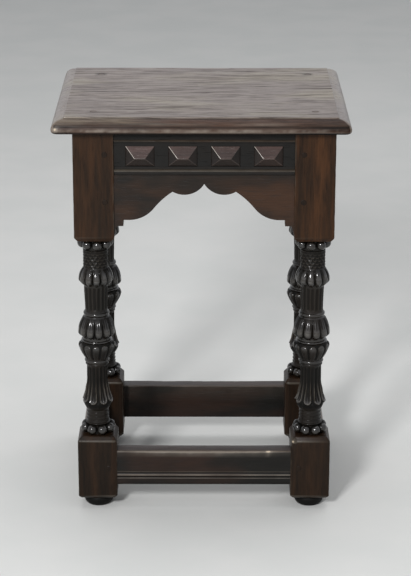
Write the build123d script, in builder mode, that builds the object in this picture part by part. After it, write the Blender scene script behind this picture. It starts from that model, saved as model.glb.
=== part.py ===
"""Joint stool in oak: a moulded top pegged to a mortised and tenoned frame.

The front of the stool faces -Y, X runs to the right and Z up. The origin is on the floor,
under the middle of the top. All sizes are millimetres.
"""

from build123d import *
import os

os.makedirs("parts", exist_ok=True)

# ---------------------------------------------------------------- overall sizes
overall_height = 560.0
top_length = 393.0  # along X
top_depth = 331.0  # along Y
top_thickness = 20.0
end_overhang = 23.0  # the top beyond the legs at each end, on average
front_overhang = 21.5
back_overhang = 31.5
frame_shift = 4.0  # the frame stands this far to the right of the top's middle

# ---------------------------------------------------------------- edge of the top
edge_width = 16.0  # from the edge to the flat of the top
edge_quirk = 1.5  # small step beside the flat
edge_thumb_foot = 10.5  # where the thumb moulding turns upright, below the flat
edge_turn = 15.0  # where the edge turns under, below the flat
edge_under = 3.0  # how far the underside stops short of the edge

# ---------------------------------------------------------------- legs
leg_section = 54.0
leg_corner_radius = 1.2
foot_height = 15.2  # floor to the underside of the lower block
lower_block_height = 85.8
upper_block_height = 147.0
hip_height = 6.0  # sloping shoulders where the blocks meet the turning
hip_inset = 4.5
sole_chamfer = 4.0  # underside edges of the lower block

foot_sole_radius = 15.0
foot_radius = 20.5
foot_swell_height = 9.0

# Turned part, from the lower block up: heights and radii of its members.
ring_rise = 7.0  # the lower ring starts this far above the block, clear of the hip
ring_height = 13.0
ring_radius = 24.6
ring_root_radius = 16.0
fillet_height = 1.5
fillet_radius = 17.0
cove_height = 2.5
neck_height = 16.0
neck_radius = 14.5
bell_lip_height = 11.0
bell_radius = 21.2
bell_flare_height = 34.0
shaft_height = 19.5
shaft_radius = 14.4
astragal_height = 8.0
astragal_radius = 16.2
cup_height = 14.5
cup_radius = 23.2
rim_height = 12.0
rim_radius = 25.4
groove_height = 5.5
groove_radius = 18.8
bulb_lip_height = 9.0
bulb_radius = 25.6
bulb_shoulder_height = 21.0
bulb_top_radius = 18.0
collar_height = 9.0
collar_radius = 17.5
upper_shaft_foot_radius = 15.2
upper_shaft_radius = 16.3  # under the petals

# Turned part, from the upper block down.
top_ring_gap = 5.5  # upper block face to the top of its ring
top_ring_height = 16.0
top_ring_radius = 25.0
top_ring_root_radius = 19.0
scaled_neck_height = 26.0
scaled_neck_radius = 17.0
petal_shoulder_height = 17.0
petal_radius = 23.7
petal_lip_height = 8.0

# ---------------------------------------------------------------- rails
rail_setback = 2.5  # rail and stretcher faces lie behind the leg faces
rail_thickness = 23.0
rail_end_height = 144.0  # rail at its shoulders
bracket_width = 12.0  # small stepped bracket beside each leg
bracket_corner = 4.0
bracket_height = 130.5  # below the rail's top, as are the four heights that follow
arch_foot_height = 122.0
arch_turn_height = 106.0  # where the S-curve turns over
arch_cusp_height = 83.0
arch_peak_height = 72.3
# The arch is set out from the rail's middle in shares of the distance to the brackets.
arch_cusp_share = 0.39
arch_turn_share = 0.623
arch_foot_share = 0.93
arch_lobe_share = 0.215  # depth of the lobe between peak and cusp, in shares of its width

# Scratched and run mouldings; heights are below the rail's top, or above the floor.
rail_bead_height = 14.0
moulding_height = 12.0
moulding_depth = 1.6
moulding_bead = 4.6
rail_moulding_top = 48.5
stretcher_moulding_top = 57.0
line_bead = 3.0
line_depth = 1.2

# ---------------------------------------------------------------- bosses
boss_width = 38.5
boss_height = 27.5
boss_margin = 15.5  # from the leg to the first boss
boss_least_gap = 10.0  # a rail holds as many bosses as fit with this between them
boss_top = 20.8  # below the rail's top
boss_recess = 2.5
boss_rise = 10.0  # ridge above the floor of the recess
boss_plinth = 1.5
boss_ridge = 14.0
boss_ridge_drop = 1.8
boss_ridge_width = 0.6
boss_clearance = 0.3

# ---------------------------------------------------------------- stretchers
stretcher_bottom = 36.0
stretcher_height = 50.0
stretcher_thickness = 23.0

# ---------------------------------------------------------------- joints
tenon_thickness = 9.0
tenon_gap = 2.5  # wood left between two tenons that meet in a leg
rail_tenon_haunch = 15.0  # top of the tenon below the rail's top
rail_tenon_foot = 14.0  # bottom of the tenon above the rail's shoulder end
stretcher_tenon_shoulder = 6.0
joint_clearance = 0.1

peg_radius = 4.0
peg_length = 34.0
peg_proud = 0.6
peg_clearance = 0.05
peg_inset = 12.0  # from the inner side of the leg
rail_peg_upper = 32.0  # below the rail's top
rail_peg_lower = 97.0
side_peg_drop = 12.0  # side pegs are staggered below the front and back ones

top_peg_radius = 4.5
top_peg_depth = 42.0  # into the leg
top_peg_sink = 0.4

# ---------------------------------------------------------------- worked-out places
frame_length = top_length - 2 * end_overhang  # over the legs, along X
frame_depth = top_depth - front_overhang - back_overhang  # over the legs, along Y
frame_back = (front_overhang - back_overhang) / 2  # the frame's middle along Y
frame_top = overall_height - top_thickness
upper_block_bottom = frame_top - upper_block_height
lower_block_top = foot_height + lower_block_height
leg_x = frame_length / 2 - leg_section / 2
leg_y = frame_depth / 2 - leg_section / 2
long_clear = frame_length - 2 * leg_section
short_clear = frame_depth - 2 * leg_section

rail_middle = rail_setback + rail_thickness / 2
stretcher_middle = rail_setback + stretcher_thickness / 2
rail_tenon_length = leg_section - rail_middle - tenon_thickness / 2 - tenon_gap
stretcher_tenon_length = leg_section - stretcher_middle - tenon_thickness / 2 - tenon_gap
rail_tenon_top = frame_top - rail_tenon_haunch
rail_tenon_bottom = frame_top - rail_end_height + rail_tenon_foot
stretcher_tenon_bottom = stretcher_bottom + stretcher_tenon_shoulder
stretcher_tenon_top = stretcher_bottom + stretcher_height - stretcher_tenon_shoulder
stretcher_peg_height = stretcher_bottom + stretcher_height / 2

SIDES = {
    "front": {"out": (0, -1, 0), "along": (1, 0, 0)},
    "back": {"out": (0, 1, 0), "along": (-1, 0, 0)},
    "left": {"out": (-1, 0, 0), "along": (0, -1, 0)},
    "right": {"out": (1, 0, 0), "along": (0, 1, 0)},
}
LONG_SIDES = ("front", "back")


def face_plane(side):
    """Plane on the leg faces of one side: x along the side, y up, z outwards."""
    out = Vector(*SIDES[side]["out"])
    reach = frame_depth / 2 if side in LONG_SIDES else frame_length / 2
    origin = Vector(frame_shift, frame_back, 0) + out * reach
    return Plane(origin=origin, x_dir=SIDES[side]["along"], z_dir=SIDES[side]["out"])


def section_plane(side):
    """Plane across a rail or stretcher: x outwards from the leg faces, y up."""
    face = face_plane(side)
    return Plane(origin=face.origin, x_dir=face.z_dir, z_dir=face.z_dir.cross(Vector(0, 0, 1)))


def clear_length(side):
    return long_clear if side in LONG_SIDES else short_clear


def peg_drop(side):
    return 0.0 if side in LONG_SIDES else side_peg_drop


def rail_peg_places(side):
    """Heights of the rail pegs on one side, and their distance from the side's middle."""
    reach = clear_length(side) / 2 + peg_inset
    heights = [frame_top - down - peg_drop(side) for down in (rail_peg_upper, rail_peg_lower)]
    return [(end * reach, height) for end in (-1, 1) for height in heights]


def stretcher_peg_places(side):
    reach = clear_length(side) / 2 + peg_inset
    return [(end * reach, stretcher_peg_height) for end in (-1, 1)]


def top_peg_places():
    return [(frame_shift + sx * leg_x, frame_back + sy * leg_y) for sx in (-1, 1) for sy in (-1, 1)]


# ---------------------------------------------------------------- top board
def moulded_section(span):
    """Cross-section of the top, span wide, with both edges moulded; y is the height."""
    half = span / 2
    top = overall_height
    arris = (half - edge_width, top)
    quirk = (half - edge_width, top - edge_quirk)
    thumb_foot = (half, top - edge_thumb_foot)
    turn = (half, top - edge_turn)
    under = (half - edge_under, top - top_thickness)
    with BuildSketch() as section:
        with BuildLine():
            Line((0, top), arris)
            Line(arris, quirk)
            EllipticalCenterArc(
                (quirk[0], thumb_foot[1]), edge_width, edge_thumb_foot - edge_quirk, arc_size=90
            )
            Line(thumb_foot, turn)
            TangentArc(turn, under, tangent=(0, -1))
            Line(under, (0, top - top_thickness))
            mirror(about=Plane.YZ)
        make_face()
    return section.sketch


with BuildPart() as top_board:
    with BuildSketch(Plane.XZ):
        add(moulded_section(top_length))
    extrude(amount=top_depth / 2, both=True)
    with BuildSketch(Plane.YZ):
        add(moulded_section(top_depth))
    extrude(amount=top_length / 2, both=True, mode=Mode.INTERSECT)
    with BuildSketch(Plane.XY.offset(overall_height)):
        with Locations(*top_peg_places()):
            Circle(top_peg_radius + peg_clearance)
    extrude(amount=-top_thickness, mode=Mode.SUBTRACT)

top_board.part.label = "top_board"
export_step(top_board.part, "parts/top_board.step")


# ---------------------------------------------------------------- legs
def turned_outline():
    """Half-section of a leg's turning, from the floor to the top; x is the radius, y the height."""
    ring = lower_block_top + ring_rise
    fillet = ring + ring_height
    cove = fillet + fillet_height
    neck = cove + cove_height
    bell = neck + neck_height
    bell_tip = bell + bell_lip_height
    shaft = bell_tip + bell_flare_height
    astragal = shaft + shaft_height
    cup = astragal + astragal_height
    rim = cup + cup_height
    groove = rim + rim_height
    bulb = groove + groove_height
    bulb_tip = bulb + bulb_lip_height
    collar = bulb_tip + bulb_shoulder_height
    upper_shaft = collar + collar_height
    top_ring_end = upper_block_bottom - top_ring_gap
    top_ring = top_ring_end - top_ring_height
    scaled_neck = top_ring - scaled_neck_height
    petal_tip = scaled_neck - petal_shoulder_height
    petal = petal_tip - petal_lip_height
    with BuildSketch() as outline:
        with BuildLine():
            Line((0, 0), (foot_sole_radius, 0))
            ThreePointArc(
                (foot_sole_radius, 0),
                ((foot_sole_radius + 2 * foot_radius) / 3, foot_swell_height / 3),
                (foot_radius, foot_swell_height),
            )
            Line((foot_radius, foot_swell_height), (foot_radius, foot_height))
            Line((foot_radius, foot_height), (ring_root_radius, ring))
            ThreePointArc(
                (ring_root_radius, ring),
                (ring_radius, ring + ring_height / 2),
                (ring_root_radius, fillet),
            )
            Line((ring_root_radius, fillet), (fillet_radius, fillet))
            Line((fillet_radius, fillet), (fillet_radius, cove))
            Line((fillet_radius, cove), (ring_root_radius, cove))
            TangentArc((ring_root_radius, cove), (neck_radius, neck), tangent=(-1, 1))
            Line((neck_radius, neck), (neck_radius, bell))
            TangentArc((neck_radius, bell), (bell_radius, bell_tip), tangent=(1, 1))
            ThreePointArc(
                (bell_radius, bell_tip),
                ((bell_radius + 2 * shaft_radius) / 3, bell_tip + bell_flare_height * 0.4),
                (shaft_radius, shaft),
            )
            Line((shaft_radius, shaft), (shaft_radius, astragal))
            ThreePointArc(
                (shaft_radius, astragal),
                (astragal_radius, astragal + astragal_height / 2),
                (astragal_radius, cup),
            )
            TangentArc((astragal_radius, cup), (cup_radius, rim), tangent=(1, 1.2))
            ThreePointArc(
                (cup_radius, rim),
                (rim_radius, rim + rim_height / 2),
                (groove_radius + rim_radius - cup_radius, groove),
            )
            Line((groove_radius + rim_radius - cup_radius, groove), (groove_radius, groove))
            Line((groove_radius, groove), (groove_radius, bulb))
            TangentArc((groove_radius, bulb), (bulb_radius, bulb_tip), tangent=(1, 0.8))
            TangentArc((bulb_radius, bulb_tip), (bulb_top_radius, collar), tangent=(0, 1))
            ThreePointArc(
                (bulb_top_radius, collar),
                (collar_radius, collar + collar_height / 2),
                (upper_shaft_foot_radius, upper_shaft),
            )
            Line((upper_shaft_foot_radius, upper_shaft), (upper_shaft_radius, petal))
            TangentArc((upper_shaft_radius, petal), (petal_radius, petal_tip), tangent=(1, 0.6))
            TangentArc((petal_radius, petal_tip), (scaled_neck_radius, scaled_neck), tangent=(0, 1))
            Line((scaled_neck_radius, scaled_neck), (scaled_neck_radius, top_ring))
            Line((scaled_neck_radius, top_ring), (top_ring_root_radius, top_ring))
            ThreePointArc(
                (top_ring_root_radius, top_ring),
                (top_ring_radius, top_ring + top_ring_height / 2),
                (top_ring_root_radius, top_ring_end),
            )
            Line((top_ring_root_radius, top_ring_end), (top_ring_root_radius, frame_top))
            Line((top_ring_root_radius, frame_top), (0, frame_top))
            Line((0, frame_top), (0, 0))
        make_face()
    return outline.sketch


def tenon_section(bottom, top, middle, thickness):
    """A tenon seen end on, in a section plane; middle is its depth behind the leg faces."""
    with BuildSketch() as section:
        with Locations((-middle, (bottom + top) / 2)):
            Rectangle(thickness, top - bottom)
    return section.sketch


def leg_ends(sx, sy):
    """The two sides of the frame that meet in a leg, and at which end of each it stands."""
    long_side = "front" if sy < 0 else "back"
    short_side = "left" if sx < 0 else "right"
    return {
        long_side: sx * SIDES[long_side]["along"][0],
        short_side: sy * SIDES[short_side]["along"][1],
    }


def make_leg(sx, sy):
    """A leg at its place in the frame; sx and sy say which corner."""
    axis_x = frame_shift + sx * leg_x
    axis_y = frame_back + sy * leg_y
    lower_block = (
        (foot_height, leg_section - 2 * sole_chamfer),
        (foot_height + sole_chamfer, leg_section),
        (lower_block_top, leg_section),
        (lower_block_top + hip_height, leg_section - 2 * hip_inset),
    )
    upper_block = (
        (upper_block_bottom - hip_height, leg_section - 2 * hip_inset),
        (upper_block_bottom, leg_section),
        (frame_top, leg_section),
    )
    slack = joint_clearance
    with BuildPart() as leg:
        with BuildSketch(Plane(origin=(axis_x, axis_y, 0), x_dir=(1, 0, 0), z_dir=(0, -1, 0))):
            add(turned_outline())
        revolve(axis=Axis((axis_x, axis_y, 0), (0, 0, 1)))
        for block in (lower_block, upper_block):
            for level, width in block:
                with BuildSketch(Plane.XY.offset(level)):
                    with Locations((axis_x, axis_y)):
                        RectangleRounded(width, width, leg_corner_radius)
            loft(ruled=True)
        for side, end in leg_ends(sx, sy).items():
            shoulder = section_plane(side).offset(-end * clear_length(side) / 2)
            with BuildSketch(shoulder):
                add(tenon_section(rail_tenon_bottom - slack, rail_tenon_top + slack,
                                  rail_middle, tenon_thickness + 2 * slack))
            extrude(amount=-end * (rail_tenon_length + slack), mode=Mode.SUBTRACT)
            with BuildSketch(shoulder):
                add(tenon_section(stretcher_tenon_bottom - slack, stretcher_tenon_top + slack,
                                  stretcher_middle, tenon_thickness + 2 * slack))
            extrude(amount=-end * (stretcher_tenon_length + slack), mode=Mode.SUBTRACT)
            pegs = [
                place
                for place in rail_peg_places(side) + stretcher_peg_places(side)
                if place[0] * end > 0
            ]
            with BuildSketch(face_plane(side)):
                with Locations(*pegs):
                    Circle(peg_radius + peg_clearance)
            extrude(amount=-(peg_length - peg_proud), mode=Mode.SUBTRACT)
        with BuildSketch(Plane.XY.offset(frame_top)):
            with Locations((axis_x, axis_y)):
                Circle(top_peg_radius + peg_clearance)
        extrude(amount=-top_peg_depth, mode=Mode.SUBTRACT)
    return leg.part


LEGS = {
    "leg_front_left": (-1, -1),
    "leg_front_right": (1, -1),
    "leg_back_left": (-1, 1),
    "leg_back_right": (1, 1),
}

for name, (sx, sy) in LEGS.items():
    leg = make_leg(sx, sy)
    leg.label = name
    export_step(leg, f"parts/{name}.step")


# ---------------------------------------------------------------- rails
def run_moulding(setback, middle, height, bead, depth):
    """Cut of a run moulding in a section plane: a sunk band that leaves one bead standing."""
    with BuildSketch() as cut:
        with Locations((-setback - depth / 2, middle)):
            Rectangle(depth, height)
        with Locations((-setback - bead / 2, middle)):
            Circle(bead / 2, mode=Mode.SUBTRACT)
    return cut.sketch


def rail_outline(side):
    """Face of a rail: straight top, and an ogee arch between two stepped brackets."""
    half = clear_length(side) / 2
    reach = half - bracket_width
    top = frame_top
    peak = (0, top - arch_peak_height)
    cusp = (reach * arch_cusp_share, top - arch_cusp_height)
    lobe = (cusp[0] / 2, (peak[1] + cusp[1]) / 2 - cusp[0] * arch_lobe_share)
    turn = (reach * arch_turn_share, top - arch_turn_height)
    foot = (reach * arch_foot_share, top - arch_foot_height)
    step = (reach, foot[1])
    bracket = (step[0], top - bracket_height)
    corner = (half - bracket_corner, bracket[1])
    shoulder = (half, top - rail_end_height)
    with BuildSketch() as outline:
        with BuildLine():
            ThreePointArc(peak, lobe, cusp)
            rise = TangentArc(foot, turn, tangent=(-1, 0))
            TangentArc(turn, cusp, tangent=rise % 1)
            Line(foot, step)
            Line(step, bracket)
            Line(bracket, corner)
            TangentArc(shoulder, corner, tangent=(0, 1))
            Line(shoulder, (half, top))
            Line((half, top), (0, top))
            mirror(about=Plane.YZ)
        make_face()
    return outline.sketch


def boss_places(side):
    """Middles of the bosses on one side, in its face plane."""
    room = clear_length(side) - 2 * boss_margin
    count = int((room + boss_least_gap) / (boss_width + boss_least_gap))
    pitch = (room - boss_width) / (count - 1)
    height = frame_top - boss_top - boss_height / 2
    return [((index - (count - 1) / 2) * pitch, height) for index in range(count)]


def make_rail(side):
    half = clear_length(side) / 2
    with BuildPart() as rail:
        with BuildSketch(face_plane(side).offset(-rail_setback)):
            add(rail_outline(side))
        extrude(amount=-rail_thickness)
        with BuildSketch(section_plane(side)):
            add(run_moulding(rail_setback, frame_top - rail_moulding_top - moulding_height / 2,
                             moulding_height, moulding_bead, moulding_depth))
            add(run_moulding(rail_setback, frame_top - rail_bead_height,
                             line_bead + 2 * line_depth, line_bead, line_depth))
        extrude(amount=half, both=True, mode=Mode.SUBTRACT)
        with BuildSketch(face_plane(side).offset(-rail_setback)):
            with Locations(*boss_places(side)):
                Rectangle(boss_width, boss_height)
        extrude(amount=-boss_recess, mode=Mode.SUBTRACT)
        for end in (-1, 1):
            with BuildSketch(section_plane(side).offset(-end * half)):
                add(tenon_section(rail_tenon_bottom, rail_tenon_top, rail_middle, tenon_thickness))
            extrude(amount=-end * rail_tenon_length)
        with BuildSketch(face_plane(side)):
            with Locations(*rail_peg_places(side)):
                Circle(peg_radius + peg_clearance)
        extrude(amount=-leg_section, mode=Mode.SUBTRACT)
    return rail.part


# ---------------------------------------------------------------- stretchers
def make_stretcher(side):
    half = clear_length(side) / 2
    with BuildPart() as stretcher:
        with BuildSketch(section_plane(side)):
            with Locations((-stretcher_middle, stretcher_bottom + stretcher_height / 2)):
                Rectangle(stretcher_thickness, stretcher_height)
            add(run_moulding(rail_setback, stretcher_moulding_top - moulding_height / 2,
                             moulding_height, moulding_bead, moulding_depth), mode=Mode.SUBTRACT)
        extrude(amount=half, both=True)
        for end in (-1, 1):
            with BuildSketch(section_plane(side).offset(-end * half)):
                add(tenon_section(stretcher_tenon_bottom, stretcher_tenon_top,
                                  stretcher_middle, tenon_thickness))
            extrude(amount=-end * stretcher_tenon_length)
        with BuildSketch(face_plane(side)):
            with Locations(*stretcher_peg_places(side)):
                Circle(peg_radius + peg_clearance)
        extrude(amount=-leg_section, mode=Mode.SUBTRACT)
    return stretcher.part


# ---------------------------------------------------------------- bosses and pegs
def make_bosses(side):
    """Diamond-point bosses, each a thin plinth under a hipped ridge, in their recesses."""
    floor = face_plane(side).offset(-rail_setback - boss_recess)
    width = boss_width - 2 * boss_clearance
    height = boss_height - 2 * boss_clearance
    with BuildPart() as bosses:
        with BuildSketch(floor):
            with Locations(*boss_places(side)):
                Rectangle(width, height)
        extrude(amount=boss_plinth)
        for x, y in boss_places(side):
            with BuildSketch(floor.offset(boss_plinth)):
                with Locations((x, y)):
                    Rectangle(width, height)
            with BuildSketch(floor.offset(boss_rise)):
                with Locations((x, y - boss_ridge_drop)):
                    Rectangle(boss_ridge, boss_ridge_width)
            loft(ruled=True)
    return bosses.part


def make_pegs(side, places):
    """Pegs driven into one side's leg faces at the given places."""
    with BuildPart() as pegs:
        with BuildSketch(face_plane(side).offset(peg_proud)):
            with Locations(*places):
                Circle(peg_radius)
        extrude(amount=-peg_length)
        outward = Axis(face_plane(side).origin, face_plane(side).z_dir)
        chamfer(pegs.edges().group_by(outward)[-1], length=peg_proud)
    return pegs.part


for side in SIDES:
    pieces = {
        f"rail_{side}": make_rail(side),
        f"stretcher_{side}": make_stretcher(side),
        f"bosses_{side}": make_bosses(side),
        f"rail_pegs_{side}": make_pegs(side, rail_peg_places(side)),
        f"stretcher_pegs_{side}": make_pegs(side, stretcher_peg_places(side)),
    }
    for name, piece in pieces.items():
        piece.label = name
        export_step(piece, f"parts/{name}.step")

with BuildPart() as top_pegs:
    with BuildSketch(Plane.XY.offset(overall_height - top_peg_sink)):
        with Locations(*top_peg_places()):
            Circle(top_peg_radius)
    extrude(amount=-(top_thickness - top_peg_sink + top_peg_depth))

top_pegs.part.label = "top_pegs"
export_step(top_pegs.part, "parts/top_pegs.step")
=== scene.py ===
"""Looks of the joint stool: moulded top, carved turned legs, shaped rails, waxed oak."""

import math
import random

import bmesh
import bpy
from mathutils import Matrix, Vector, noise


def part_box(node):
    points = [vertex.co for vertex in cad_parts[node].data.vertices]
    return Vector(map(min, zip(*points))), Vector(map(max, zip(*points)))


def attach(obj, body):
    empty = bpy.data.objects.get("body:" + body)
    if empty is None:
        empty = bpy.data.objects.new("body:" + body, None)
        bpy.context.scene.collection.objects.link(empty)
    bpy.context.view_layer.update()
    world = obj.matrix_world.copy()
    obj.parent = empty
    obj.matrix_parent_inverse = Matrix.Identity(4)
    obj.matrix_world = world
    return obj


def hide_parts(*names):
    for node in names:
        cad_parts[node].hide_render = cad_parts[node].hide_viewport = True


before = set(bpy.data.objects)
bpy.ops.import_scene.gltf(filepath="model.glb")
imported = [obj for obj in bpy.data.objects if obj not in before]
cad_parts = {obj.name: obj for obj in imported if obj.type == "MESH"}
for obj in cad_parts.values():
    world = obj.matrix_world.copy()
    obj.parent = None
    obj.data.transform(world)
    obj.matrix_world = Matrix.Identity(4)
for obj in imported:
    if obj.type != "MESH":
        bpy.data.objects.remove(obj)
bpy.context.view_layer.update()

MM = 0.001
TURN = 2 * math.pi

# ---------------------------------------------------------------- places, in millimetres
TOP_HEIGHT = 560.0
TOP_THICKNESS = 20.0
FRAME_SHIFT = 4.0  # the frame stands right of the top's middle
FRAME_BACK = -5.0  # and in front of it
LEG_HALF = 27.0  # half the leg's square
LONG_CLEAR = 119.5  # half the room between the legs, along X
SHORT_CLEAR = 85.0  # and along Y

PEG_RADIUS, PEG_LENGTH, PEG_PROUD = 4.0, 34.0, 0.6
PEG_INSET = 12.0  # into the leg from the room between the legs
RAIL_PEG_HEIGHTS = (508.0, 443.0)
SIDE_PEG_DROP = 12.0  # the side pegs pass below the front and back ones
STRETCHER_PEG_HEIGHT = 61.0
TOP_PEG_RADIUS, TOP_PEG_LENGTH = 4.5, 61.6
TOP_PEG_SINK = 0.4
TOP_PEG_REACH_X, TOP_PEG_REACH_Y = 146.5, 112.0  # from the frame's middle

SIDES = {
    "front": {"turned": 0.0, "half": LONG_CLEAR, "reach": 139.0},
    "back": {"turned": math.pi, "half": LONG_CLEAR, "reach": 139.0},
    "left": {"turned": -math.pi / 2, "half": SHORT_CLEAR, "reach": 173.5},
    "right": {"turned": math.pi / 2, "half": SHORT_CLEAR, "reach": 173.5},
}


# ---------------------------------------------------------------- small helpers
def ease(value, low=0.0, high=1.0):
    """Rises smoothly from 0 at low to 1 at high."""
    t = min(1.0, max(0.0, (value - low) / (high - low)))
    return t * t * (3 - 2 * t)


def bump_at(value, middle, width):
    """A smooth bump one high."""
    return math.exp(-(((value - middle) / width) ** 2))


def unevenness(x, y, z, size, seed=0.0):
    """Noise from about -1 to 1 that changes over the given size in millimetres."""
    return noise.noise(Vector((x / size + seed, y / size - seed, z / size + 0.37 * seed)))


def finished(bm, name, finish, node, sharp=38.0, flat=()):
    """Makes a piece of a bmesh in millimetres, which then stands for a node. The faces whose
    numbers are in flat keep their own even shade."""
    bmesh.ops.recalc_face_normals(bm, faces=bm.faces)
    bmesh.ops.scale(bm, vec=(MM, MM, MM), verts=bm.verts)
    mesh = bpy.data.meshes.new(name)
    bm.to_mesh(mesh)
    bm.free()
    mesh.shade_smooth()
    mesh.set_sharp_from_angle(angle=math.radians(sharp))
    for number in flat:
        mesh.polygons[number].use_smooth = False
    mesh.materials.append(finish)
    piece = bpy.data.objects.new(name, mesh)
    bpy.context.scene.collection.objects.link(piece)
    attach(piece, "root")
    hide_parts(node)
    return piece


def fresh():
    """An empty bmesh with its attributes: crests paled by rubbing and by painted highlights, darkness from
    grime in hollows and from painted shade, rich old colour, which on the bosses' upward facets is painted
    light, and the polish of much handled carving."""
    bm = bmesh.new()
    bm.verts.layers.float.new("rich")
    bm.verts.layers.float.new("polish")
    return bm, bm.verts.layers.float.new("crest"), bm.verts.layers.float.new("grime_and_shade")


def joined(parts):
    """One bmesh of several, each of which is freed."""
    whole, _, _ = fresh()
    for part in parts:
        mesh = bpy.data.meshes.new("part")
        part.to_mesh(mesh)
        part.free()
        whole.from_mesh(mesh)
        bpy.data.meshes.remove(mesh)
    return whole


def spun(points, steps):
    """A closed turned shape from radii and heights; its first and last radius are 0."""
    bm, _, _ = fresh()
    chain = [bm.verts.new((radius, 0, height)) for radius, height in points]
    edges = [bm.edges.new(pair) for pair in zip(chain, chain[1:])]
    bmesh.ops.spin(bm, geom=chain + edges, cent=(0, 0, 0), axis=(0, 0, 1), dvec=(0, 0, 0),
                   angle=TURN, steps=steps, use_merge=True, use_duplicate=False)
    poles = [v for v in bm.verts if v.co.xy.length < 0.01]
    bmesh.ops.remove_doubles(bm, verts=poles, dist=0.02)
    return bm


def to_side(side):
    """From a side's own axes, x along it, y inwards from the leg faces, z up, to the stool's."""
    facts = SIDES[side]
    turn = Matrix.Rotation(facts["turned"], 4, "Z")
    outwards = Matrix.Translation((0, -facts["reach"], 0))
    return Matrix.Translation((FRAME_SHIFT, FRAME_BACK, 0)) @ turn @ outwards


# ---------------------------------------------------------------- finishes
class Field:
    """A value that changes over a surface. The usual operators add its Math nodes."""

    def __init__(self, finish, socket):
        self.finish = finish
        self.socket = socket

    def math(self, operation, *others):
        values = {0: self}
        values.update({i + 1: other for i, other in enumerate(others)})
        return self.finish.node("ShaderNodeMath", values, operation=operation)

    def __add__(self, other):
        return self.math("ADD", other)

    def __sub__(self, other):
        return self.math("SUBTRACT", other)

    def __mul__(self, other):
        return self.math("MULTIPLY", other)

    def __rsub__(self, other):
        return self.finish.node("ShaderNodeMath", {0: other, 1: self}, operation="SUBTRACT")

    __radd__ = __add__
    __rmul__ = __mul__

    def kept(self):
        """The value held between 0 and 1."""
        return self.finish.node("ShaderNodeClamp", {"Value": self})

    def between(self, low, high):
        """0 below low and 1 above high, smooth in between."""
        return self.finish.node(
            "ShaderNodeMapRange",
            {"Value": self, "From Min": low, "From Max": high},
            interpolation_type="SMOOTHSTEP",
        )


class Finish:
    """A material under construction, ending in one Principled shader."""

    def __init__(self, name):
        self.material = bpy.data.materials.new(name)
        self.material.use_nodes = True
        self.tree = self.material.node_tree
        self.tree.nodes.clear()

    def node(self, kind, values=None, output=0, **settings):
        """Adds a node: its settings first, then the values or links of its sockets."""
        made = self.tree.nodes.new(kind)
        for key, value in settings.items():
            setattr(made, key, value)
        for key, value in (values or {}).items():
            if isinstance(value, Field):
                self.tree.links.new(value.socket, made.inputs[key])
            else:
                made.inputs[key].default_value = value
        return None if output is None else Field(self, made.outputs[output])

    def place(self):
        return self.node("ShaderNodeTexCoord", output="Object")

    def axis(self, vector, letter):
        return self.node("ShaderNodeSeparateXYZ", {0: vector}, output=letter)

    def mapped(self, vector, scale, shift=(0, 0, 0)):
        return self.node("ShaderNodeMapping", {"Vector": vector, "Location": shift, "Scale": scale})

    def attribute(self, name):
        return self.node("ShaderNodeAttribute", output="Fac", attribute_name=name)

    def clouds(self, vector, scale, detail=3.0, roughness=0.5, distortion=0.0):
        values = {"Vector": vector, "Scale": scale, "Detail": detail,
                  "Roughness": roughness, "Distortion": distortion}
        return self.node("ShaderNodeTexNoise", values)

    def mix(self, share, one, other):
        """Colour one, turning into the other as share rises to 1."""
        return self.node("ShaderNodeMix", {0: share, 6: one, 7: other}, output=2, data_type="RGBA")

    def tinted(self, share, one, other):
        return self.node(
            "ShaderNodeMix", {0: share, 6: one, 7: other},
            output=2, data_type="RGBA", blend_type="MULTIPLY",
        )

    def close(self, colour, roughness, normal, **steady):
        """Ends the material with the shader's other values."""
        values = {"Base Color": colour, "Roughness": roughness, "Normal": normal}
        values.update({key.replace("_", " "): value for key, value in steady.items()})
        shader = self.node("ShaderNodeBsdfPrincipled", values)
        self.node("ShaderNodeOutputMaterial", {"Surface": shader}, output=None)
        return self.material


def shade(red, green, blue):
    """A colour given as it looks on a screen, 0 to 255, as the shader's own values."""
    def straight(value):
        return value / 255 / 12.92 if value <= 10 else ((value / 255 + 0.055) / 1.055) ** 2.4

    return (straight(red), straight(green), straight(blue), 1.0)


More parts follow.
